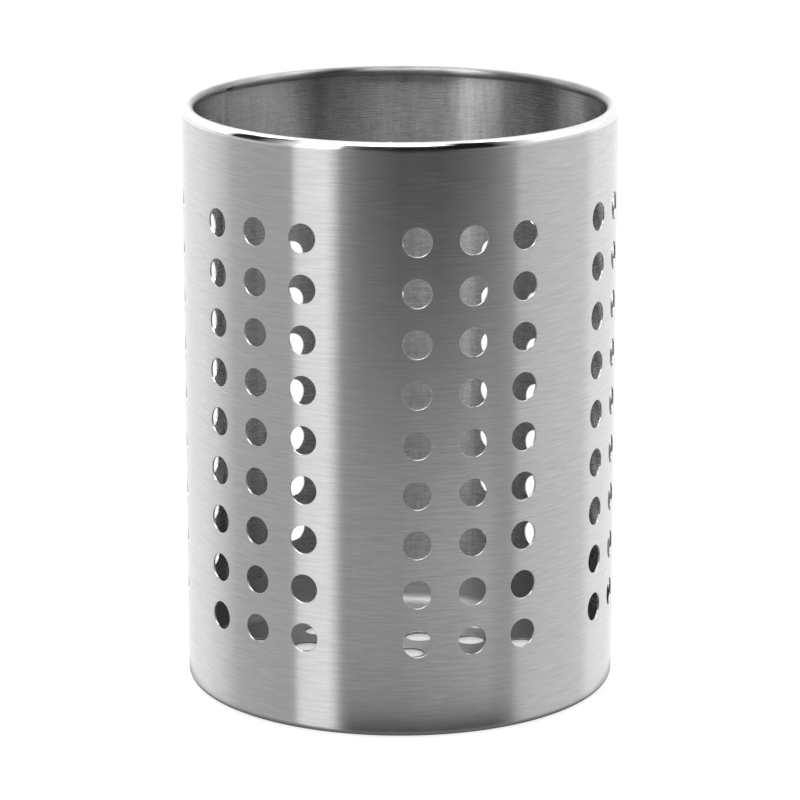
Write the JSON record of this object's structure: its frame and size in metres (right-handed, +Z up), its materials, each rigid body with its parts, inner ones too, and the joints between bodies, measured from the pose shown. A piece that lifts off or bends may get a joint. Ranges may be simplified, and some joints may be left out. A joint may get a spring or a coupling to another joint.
{
  "type": "cutlery holder",
  "caption": "Round free-standing steel cup with a perforated wall, rolled rim and drained floor, for holding cutlery or utensils upright.",
  "frame": {"origin": "centre of the footprint, on the surface that the holder stands on", "axes": "+Z up along the cup's axis, -Y towards the viewer of the picture, +X to the viewer's right"},
  "size_m": [0.132, 0.132, 0.18],
  "materials": {
    "brushed_wall": "stainless steel, fine brushing round the wall",
    "pressed_base": "stainless steel, as rolled, pressed and punched",
    "weld": "stainless steel weld, ground flush"
  },
  "bodies": {
    "root": {"wall_sheet": "brushed_wall", "seam_weld": "weld", "base_pan": "pressed_base", "spot_welds": "weld"}
  },
  "joints": []
}
